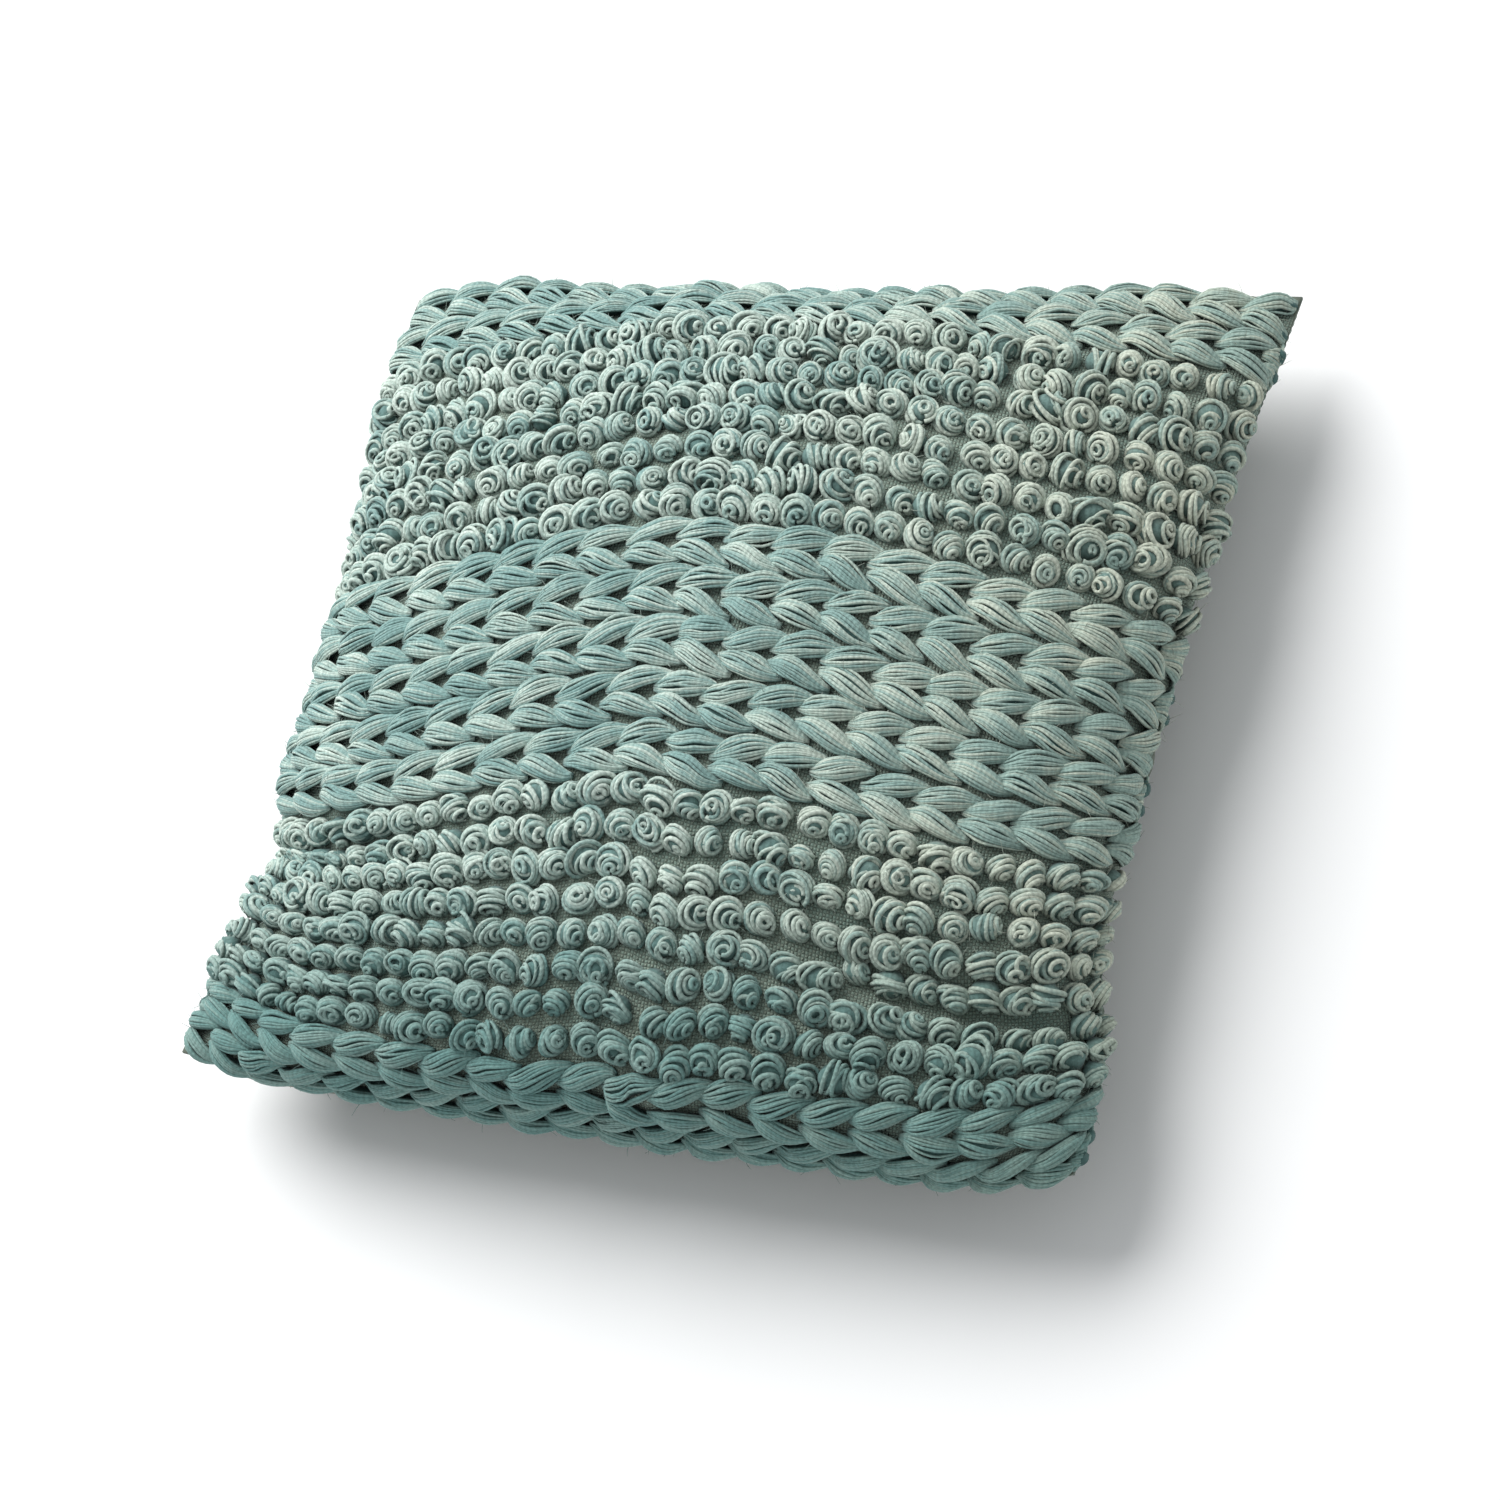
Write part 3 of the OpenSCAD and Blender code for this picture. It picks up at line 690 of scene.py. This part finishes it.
def yarn_material(name, tone_shift):
    """Stonewashed multi-strand cotton: pale and teal strands, warmer to the right. Painted shade
    darkens the strands' sides and undersides, the grooves of their twist, the core tubes inside
    lobes and knots, and the yarn low on the pillow."""
    material, tree, shader = node_tree(name, roughness=0.92, sheen=0.12, specular=0.12)
    place = add(tree, "ShaderNodeTexCoord").outputs["Object"]
    strand = add(tree, "ShaderNodeAttribute", attribute_name="strand_tone").outputs["Fac"]
    lobe = add(tree, "ShaderNodeAttribute", attribute_name="lobe_tone").outputs["Fac"]
    yarn_uv = add(tree, "ShaderNodeUVMap", uv_map="Yarn").outputs["UV"]
    split = add(tree, "ShaderNodeSeparateXYZ", {0: yarn_uv})
    where = add(tree, "ShaderNodeSeparateXYZ", {0: place})
    broad = noise(tree, place, 28.0, 3.0)
    fleck = noise(tree, place, 800.0, 3.0)
    drawn_out = add(tree, "ShaderNodeMapping", {"Vector": yarn_uv, "Scale": (0.16, 8.0, 1.0)}).outputs[0]
    streak = noise(tree, drawn_out, 1.0)
    wash = calc(tree, "ADD", calc(tree, "MULTIPLY", strand, 0.62), calc(tree, "MULTIPLY", lobe, 0.18))
    wash = calc(tree, "ADD", wash, calc(tree, "MULTIPLY", calc(tree, "SUBTRACT", broad, 0.5), 1.3))
    wash = calc(tree, "ADD", wash, calc(tree, "MULTIPLY", calc(tree, "SUBTRACT", streak, 0.5), 1.1))
    wash = calc(tree, "ADD", wash, tone_shift)
    colour = mix(tree, spread(tree, wash, 0.02, 0.45), TEAL, SAGE)
    colour = mix(tree, spread(tree, wash, 0.35, 0.80), colour, PALE)
    warm = spread(tree, where.outputs["X"], 0.0, 0.22, 0.0, 0.6)
    warm = calc(tree, "MULTIPLY", warm, spread(tree, wash, 0.1, 0.7, 0.4, 1.0))
    colour = mix(tree, warm, colour, STRAW)
    # Painted shade: the yarn low on the pillow is darkened, for the lower slope that turns from the light.
    low = spread(tree, where.outputs["Y"], -0.12, -0.19, 0.0, 0.72)
    colour = mix(tree, low, colour, DEEP_LOW_SHADE)
    # Painted shade: core tubes, whose strand tones are below zero, are mixed towards the shade colour.
    colour = mix(tree, spread(tree, strand, 0.0, CORE_SHADE_TONE), colour, SHADE)
    turn = calc(tree, "MULTIPLY", split.outputs["Y"], 2 * math.pi)
    # Painted shade: each strand darker on its sides and underside, lighter on its top.
    painted_underside_shade = spread(tree, calc(tree, "SINE", turn), -0.5, 0.7, 0.42, 1.0)
    phase = calc(tree, "ADD", calc(tree, "MULTIPLY", split.outputs["X"], 2 * math.pi / 2.3), turn)
    phase = calc(tree, "ADD", phase, calc(tree, "MULTIPLY", fleck, 5.0))
    twist = calc(tree, "SINE", phase)
    # Painted shade in the grooves of the ply twist, times a random fleck tone.
    shade = calc(tree, "MULTIPLY", spread(tree, twist, -1.0, 0.0, 0.86, 1.0),
                 spread(tree, fleck, 0.3, 0.7, 0.8, 1.14))
    colour = mix(tree, 1.0, colour, grey(tree, calc(tree, "MULTIPLY", shade, painted_underside_shade)), "MULTIPLY")
    tree.links.new(colour, shader.inputs["Base Color"])
    relief = calc(tree, "ADD", calc(tree, "MULTIPLY", twist, 0.3), calc(tree, "MULTIPLY", fleck, 1.0))
    set_relief(tree, shader, relief, 0.45, 0.0004)
    tree.links.new(spread(tree, fleck, 0.0, 1.0, 0.84, 1.0), shader.inputs["Roughness"])
    return material


def weave_material(name, colour_a, colour_b, pitch, depth, sheen=0.1):
    """Plain weave: threads over and under each other along X and Y of the flat cloth."""
    material, tree, shader = node_tree(name, roughness=0.9, sheen=sheen, specular=0.15)
    place = add(tree, "ShaderNodeTexCoord").outputs["Object"]
    flat = add(tree, "ShaderNodeUVMap", uv_map="Flat").outputs["UV"]
    split = add(tree, "ShaderNodeSeparateXYZ", {0: flat})
    step = math.pi / pitch
    wave_x = calc(tree, "SINE", calc(tree, "MULTIPLY", split.outputs["X"], step))
    wave_y = calc(tree, "SINE", calc(tree, "MULTIPLY", split.outputs["Y"], step))
    over = calc(tree, "MULTIPLY", wave_x, wave_y)
    ribs = calc(tree, "MULTIPLY", calc(tree, "ABSOLUTE", wave_x), calc(tree, "ABSOLUTE", wave_y))
    fuzz = noise(tree, place, 900.0)
    broad = noise(tree, place, 35.0, 3.0)
    share = calc(tree, "ADD", calc(tree, "MULTIPLY", over, 0.2), calc(tree, "MULTIPLY", broad, 1.1))
    colour = mix(tree, calc(tree, "SUBTRACT", share, 0.05), colour_a, colour_b)
    # Painted shade in the gaps where the threads pass under each other, times a random fuzz tone.
    shade = calc(tree, "MULTIPLY", spread(tree, ribs, 0.0, 0.5, 0.5, 1.0),
                 spread(tree, fuzz, 0.0, 1.0, 0.75, 1.25))
    tree.links.new(mix(tree, 1.0, colour, grey(tree, shade), "MULTIPLY"), shader.inputs["Base Color"])
    relief = calc(tree, "ADD", calc(tree, "ADD", ribs, calc(tree, "MULTIPLY", over, 0.5)),
                  calc(tree, "MULTIPLY", fuzz, 0.5))
    set_relief(tree, shader, relief, 0.8, depth)
    tree.links.new(spread(tree, fuzz, 0.0, 1.0, 0.82, 1.0), shader.inputs["Roughness"])
    return material


def metal_material(name, colour_a, colour_b, roughness):
    """Satin metal: two close tones, a fine grain in its roughness and a little relief."""
    material, tree, shader = node_tree(name, roughness=roughness, specular=0.5, metallic=1.0)
    place = add(tree, "ShaderNodeTexCoord").outputs["Object"]
    grain = noise(tree, place, 2500.0, 3.0)
    broad = noise(tree, place, 300.0)
    tree.links.new(mix(tree, broad, colour_a, colour_b), shader.inputs["Base Color"])
    rough = spread(tree, grain, 0.0, 1.0, roughness - 0.08, roughness + 0.12)
    tree.links.new(rough, shader.inputs["Roughness"])
    set_relief(tree, shader, grain, 0.25, 0.00005)
    return material


def plain_material(name, colour_a, colour_b, scale, roughness, depth):
    """A finish for small parts: two close tones, a fine grain and a little relief."""
    material, tree, shader = node_tree(name, roughness=roughness, sheen=0.1, specular=0.3)
    place = add(tree, "ShaderNodeTexCoord").outputs["Object"]
    grain = noise(tree, place, scale, 4.0)
    tree.links.new(mix(tree, grain, colour_a, colour_b), shader.inputs["Base Color"])
    rough = spread(tree, grain, 0.0, 1.0, roughness - 0.1, min(1.0, roughness + 0.1))
    tree.links.new(rough, shader.inputs["Roughness"])
    set_relief(tree, shader, grain, 0.5, depth)
    return material


def finish_piece(obj, material, body="cover", nodes=()):
    obj.data.materials.clear()
    obj.data.materials.append(material)
    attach(obj, body)
    if nodes:
        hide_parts(*nodes)
    return obj


# ---------------------------------------------------------------- cloth pieces
def slab(name, outer, inner, flat):
    """A closed cloth between two grids of points. flat is each point's place on the flat cloth."""
    ny, nx, _ = outer.shape
    index = np.arange(nx * ny).reshape(ny, nx)
    cells = np.stack([index[:-1, :-1], index[:-1, 1:], index[1:, 1:], index[1:, :-1]], -1).reshape(-1, 4)
    rim = rim_of(index)
    after = np.roll(rim, -1)[:-1]
    rim = rim[:-1]
    far = nx * ny
    walls = np.stack([rim + far, after + far, after, rim], -1)
    faces = np.concatenate([cells, cells[:, ::-1] + far, walls])
    obj = new_mesh(name, np.concatenate([outer.reshape(-1, 3), inner.reshape(-1, 3)]), faces)
    flat = flat.reshape(-1, 2)
    flat = np.concatenate([flat, flat])
    corner_uv(obj, "Flat", flat[faces.ravel()])
    low, high = flat.min(0), flat.max(0)
    places = (flat - low) / (high - low) * (0.48, 0.96) + (0.01, 0.02)
    places[far:, 0] += 0.5
    corner_uv(obj, "OFBake", places[faces.ravel()])
    return obj


def flat_places(grid):
    places = np.linspace(-FLAT / 2, FLAT / 2, grid.shape[0])
    y, x = np.meshgrid(places, places, indexing="ij")
    return np.stack([x, y], -1)


def front_ground(cloth):
    outer = cloth.grid[::2, ::2]
    inner = outer - cloth.normals[::2, ::2] * CLOTH
    return slab("ground_cloth", outer, inner, flat_places(outer))


class Zip:
    """Where the zip lies, taken from its two lines of stitches."""

    FLAT_BESIDE, BLEND_BESIDE = 12 * MM, 15 * MM  # the cloth is flat this far from the zip, then blends
    FLAT_PAST, BLEND_PAST = 2 * MM, 24 * MM  # the same past the ends of the zip
    PROUD = 0.1 * MM  # how far the flat cloth stands over the zip's plane
    MOUTH = 4 * MM  # half the width of the slot that the zip closes
    SLIT = 0.15 * MM  # half the gap between the two panels past the ends of the zip

    def __init__(self):
        middles = []
        for node in ("zip_stitching_upper", "zip_stitching_lower"):
            low, high = (np.array(corner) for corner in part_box(node))
            middles.append((low + high) / 2)
        self.half = (high[0] - low[0]) / 2
        self.down = unit(middles[1] - middles[0])  # over the cover's back, towards the bottom seam
        self.out = np.cross(self.down, (1.0, 0.0, 0.0))
        self.out *= -np.sign(self.out[2])
        self.line = np.linalg.norm(middles[1] - middles[0]) / 2
        self.origin = (middles[0] + middles[1]) / 2 - self.out * 0.3 * MM

    def place(self, points):
        """Distances from the zip's middle line: over the cloth towards the bottom seam, and outwards."""
        away = points - self.origin
        return away @ self.down, away @ self.out

    def flatten(self, grid):
        """Lays the back cloth flat in the zip's plane along the zip."""
        over, out = self.place(grid)
        share = 1 - smooth((np.abs(over) - self.FLAT_BESIDE) / self.BLEND_BESIDE)
        past = np.abs(grid[..., 0]) - self.half - self.FLAT_PAST
        share = share * (1 - smooth(past / self.BLEND_PAST))
        return grid - self.out * ((out - self.PROUD) * share)[..., None]


def back_panel(name, grid, zip_line, side, lines):
    """The back cloth from the zip (side 1: down to the bottom seam, side -1: up to the top seam)."""
    count = grid.shape[0]
    places = np.linspace(-1, 1, count)
    over, _ = zip_line.place(grid)
    made = np.zeros((lines, count, 3))
    flat = np.zeros((lines, count, 2))
    for i in range(count):
        x = np.interp(0, over[::-1, i], grid[::-1, i, 0])
        gap = zip_line.MOUTH if abs(x) < zip_line.half else zip_line.SLIT
        start = np.interp(side * gap, over[::-1, i], places[::-1])
        run = start + (-side - start) * np.linspace(0, 1, lines) ** 0.9
        for k in range(3):
            made[:, i, k] = np.interp(run, places, grid[:, i, k])
        flat[:, i, 0] = places[i] * FLAT / 2
        flat[:, i, 1] = run * FLAT / 2
    if side > 0:
        made, flat = made[::-1], flat[::-1]
    made, flat = made[:, ::-1], flat[:, ::-1]
    inner = made - grid_normals(made, 1) * BACK_CLOTH
    return slab(name, made, inner, flat)


def stitches(name, line, normals, pitch, length, radius, sink):
    """A run of stitches along a line of points, each sunk into the cloth at its ends."""
    along = distances(line)
    starts = np.arange(pitch, along[-1] - 2 * pitch, pitch)
    q = np.linspace(0, 1, 5)
    run = starts[:, None] + length * q
    points = np.stack([np.interp(run, along, line[:, k]) for k in range(3)], -1)
    normal = unit(np.stack([np.interp(run, along, normals[:, k]) for k in range(3)], -1))
    arch = (radius * np.sin(np.pi * q) * 0.8 - sink)[None, :, None]
    thick = np.full(run.shape, radius) * (0.6 + 0.4 * np.sin(np.pi * q))
    tones = {"strand_tone": random.random(len(starts)), "lobe_tone": random.random(len(starts))}
    return tubes(name, points + normal * arch, normal, thick, 6, 8, tones)


def seam_lines(grid):
    return {"bottom": grid[0], "top": grid[-1], "left": grid[:, 0], "right": grid[:, -1]}


def seam_stitches(grid):
    """Stitches in the groove of each edge seam."""
    made = {}
    centre = np.array([0, 0, SEAM_Z])
    for name, line in seam_lines(grid).items():
        outward = unit((line - centre) * (1, 1, 0))
        made[name] = stitches(f"seam_stitches_{name}", line, outward, 4 * MM, 3.2 * MM, 0.4 * MM, 0.35 * MM)
    return made


def zip_stitches(zip_line, name, side):
    x = np.linspace(-zip_line.half, zip_line.half, 60)
    line = zip_line.origin + x[:, None] * (1, 0, 0) + zip_line.down * side * zip_line.line
    line = line + zip_line.out * zip_line.PROUD
    normals = np.broadcast_to(zip_line.out, line.shape)
    return stitches(name, line, normals, 3.2 * MM, 2.5 * MM, 0.35 * MM, 0.1 * MM)


# ---------------------------------------------------------------- the insert
def inside(front, back, share, front_gap, back_gap):
    """A closed shape within the cover: the cloth's points at share of the way out to the seams,
    drawn in by the gaps, and front and back brought together at the rim."""
    places, u, v = unit_grid(front.shape[0])
    picks = []
    for grid in (front, back):
        for axis in (0, 1):
            grid = np.apply_along_axis(lambda line: np.interp(share * places, places, line), axis, grid)
        picks.append(grid)
    middle = (picks[0] + picks[1]) / 2
    closing = np.sqrt(np.clip((1 - u**10) * (1 - v**10), 0, 1))
    made = []
    for grid, gap in zip(picks, (front_gap, back_gap)):
        away = grid - middle
        reach = np.maximum(np.linalg.norm(away, axis=-1), 0.1 * MM)
        made.append(middle + away * (np.clip(1 - gap / reach, 0, 1) * closing)[..., None])
    return made


def insert_pieces(front, back):
    """Casing front and back, filling and the casing's seam thread."""
    top, bottom = inside(front, back, 0.955, 4 * MM, 5 * MM)
    flat = flat_places(top)
    front_case = slab("insert_case_front", top, top - grid_normals(top, 1) * CASING, flat)
    lines = bottom[:, ::-1]
    back_case = slab("insert_case_back", lines, lines - grid_normals(lines, 1) * CASING, flat[:, ::-1])
    fill_top, fill_bottom = inside(front, back, 0.945, 5.5 * MM, 6.5 * MM)
    fill = slab("fibre_filling", fill_top, fill_bottom, flat)
    outline = rim_of(top)
    outward = unit((outline - (0, 0, SEAM_Z)) * (1, 1, 0))
    thread = stitches("insert_stitches", outline, outward, 4.5 * MM, 3.5 * MM, 0.4 * MM, -0.2 * MM)
    return front_case, back_case, fill, thread


# ---------------------------------------------------------------- camera and light
AZIMUTH, ELEVATION, ROLL = 40.0, 56.0, -30.1
LENS = 100
DISTANCE = 1.83
AIM_HEIGHT, AIM_RIGHT, AIM_UP = 46 * MM, 0.0077, -0.0285
FLOOR_HALF = 6.0  # half a side of the studio floor


def add_camera():
    a, e, r = (math.radians(x) for x in (AZIMUTH, ELEVATION, ROLL))
    back = Vector((math.sin(a) * math.cos(e), -math.cos(a) * math.cos(e), math.sin(e)))
    level = Vector((math.cos(a), math.sin(a), 0))
    right = Matrix.Rotation(r, 3, back) @ level
    up = back.cross(right)
    aim = Vector((0, 0, AIM_HEIGHT)) + right * AIM_RIGHT + up * AIM_UP
    data = bpy.data.cameras.new("camera")
    data.lens = LENS
    data.sensor_width = 36
    camera = bpy.data.objects.new("camera", data)
    bpy.context.scene.collection.objects.link(camera)
    turn = Matrix((right, up, back)).transposed()
    camera.matrix_world = Matrix.Translation(aim + back * DISTANCE) @ turn.to_4x4()
    data.clip_start, data.clip_end = 0.05, 50
    bpy.context.scene.camera = camera
    bpy.context.scene.view_settings.view_transform = "Standard"


def add_light(name, place, size, power):
    """A round lamp that points at the pillow."""
    data = bpy.data.lights.new(name, "AREA")
    data.shape = "DISK"
    data.size = size
    data.energy = power
    light = bpy.data.objects.new(name, data)
    bpy.context.scene.collection.objects.link(light)
    light.location = place
    light.rotation_euler = (Vector((0, 0, 0.05)) - Vector(place)).to_track_quat("-Z", "Y").to_euler()


def add_stage():
    corners = np.array([[-1, -1, 0], [1, -1, 0], [1, 1, 0], [-1, 1, 0]])
    floor = new_mesh("floor", corners * FLOOR_HALF, np.array([[0, 1, 2, 3]]))
    material, _, shader = node_tree("floor_paint", roughness=0.8)
    shader.inputs["Base Color"].default_value = rgb(0.93, 0.93, 0.93)
    floor.data.materials.append(material)
    world = bpy.data.worlds.new("studio")
    world.use_nodes = True
    world.node_tree.nodes["Background"].inputs[0].default_value = rgb(0.95, 0.98, 1.0)
    world.node_tree.nodes["Background"].inputs[1].default_value = 0.5
    bpy.context.scene.world = world
    add_light("key", (-1.5, 1.15, 2.3), 3.0, 122)
    add_light("fill", (1.8, -1.6, 2.0), 1.6, 2)


# ---------------------------------------------------------------- build
add_camera()
add_stage()
zip_line = Zip()
front_grid, back_grid = shape_cover()
back_grid = zip_line.flatten(back_grid)
front_cloth = Cloth(front_grid, 1)
back_cloth = Cloth(back_grid, -1)

braid_yarn = yarn_material("braid_yarn", -0.15)
loop_yarn = yarn_material("loop_yarn", 0.12)
ground_weave = weave_material("ground_weave", rgb(0.20, 0.31, 0.27), rgb(0.40, 0.46, 0.37), 1.5 * MM,
                              0.0012)
back_weave = weave_material("back_weave", rgb(0.15, 0.19, 0.15), rgb(0.24, 0.27, 0.22), 0.45 * MM, 0.0002)
thread = plain_material("sewing_thread", rgb(0.17, 0.22, 0.19), rgb(0.26, 0.30, 0.26), 900.0, 0.7, 0.0001)
tape_weave = plain_material("zip_tape", rgb(0.13, 0.18, 0.16), rgb(0.18, 0.24, 0.21), 1400.0, 0.85, 0.0001)
teeth_plastic = plain_material("zip_teeth", rgb(0.16, 0.21, 0.19), rgb(0.19, 0.25, 0.23), 600.0, 0.4,
                               0.00003)
zip_metal = metal_material("zip_metal", rgb(0.50, 0.48, 0.43), rgb(0.60, 0.58, 0.53), 0.32)
casing_cotton = weave_material("insert_cotton", rgb(0.74, 0.73, 0.69), rgb(0.82, 0.81, 0.78), 0.4 * MM,
                               0.0001)
fibre = plain_material("filling_fibre", rgb(0.80, 0.80, 0.78), rgb(0.88, 0.88, 0.87), 250.0, 0.95, 0.002)

ground = finish_piece(front_ground(front_cloth), ground_weave,
                      nodes=["front_ground_cloth"])
fine_back = back_cloth.grid[::2, ::2]
main = finish_piece(back_panel("back_cloth_main", fine_back, zip_line, -1, 120), back_weave,
                    nodes=["back_panel_main"])
strip = finish_piece(back_panel("back_cloth_strip", fine_back, zip_line, 1, 14), back_weave,
                     nodes=["back_panel_strip"])

chain_phase = 0.0
fibre_starts = []
for kind, number, place, y in row_layout():
    if kind == "braid":
        if place % 2 == 0:
            chain_phase = random.random()
        row = braid_row(front_cloth, number, place, y, chain_phase)
        finish_piece(row, braid_yarn, nodes=[f"soumak_row_{number:02d}"])
    else:
        row = loop_row(front_cloth, number, y)
        finish_piece(row, loop_yarn, nodes=[f"loop_row_{number:02d}"])
    fibre_starts.append(surface_points(row))
finish_piece(stray_fibres(fibre_starts), loop_yarn)

for side, piece in seam_stitches(front_cloth.grid).items():
    finish_piece(piece, thread, nodes=[f"seam_thread_{side}"])
for side, sign in (("upper", -1), ("lower", 1)):
    piece = zip_stitches(zip_line, f"zip_stitches_{side}", sign)
    finish_piece(piece, thread, nodes=[f"zip_stitching_{side}"])

case_front, case_back, filling, case_thread = insert_pieces(front_grid, back_grid)
finish_piece(case_front, casing_cotton, nodes=["insert_casing_front"])
finish_piece(case_back, casing_cotton, nodes=["insert_casing_back"])
finish_piece(case_thread, casing_cotton, nodes=["insert_seam_thread"])
finish_piece(filling, fibre, nodes=["insert_filling"])

# Zip pieces shown as the CAD has them: slot, then material, nodes and width of the bevel
CARRIED = {
    "zip_tape": (tape_weave, ["zip_tape_upper", "zip_tape_lower"], 0),
    "zip_teeth": (teeth_plastic, ["zip_teeth_upper", "zip_teeth_lower"], 0.15 * MM),
    "zip_metal": (zip_metal, ["zip_top_stops", "zip_bottom_stop", "zip_slider", "zip_pull_tab"], 0.2 * MM),
}
for slot, (material, nodes, width) in CARRIED.items():
    for node in nodes:
        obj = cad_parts[node]
        obj.data.materials.clear()
        obj.data.materials.append(material)
        if width:
            bevel = obj.modifiers.new("edges", "BEVEL")
            bevel.width = width
            bevel.segments = 2
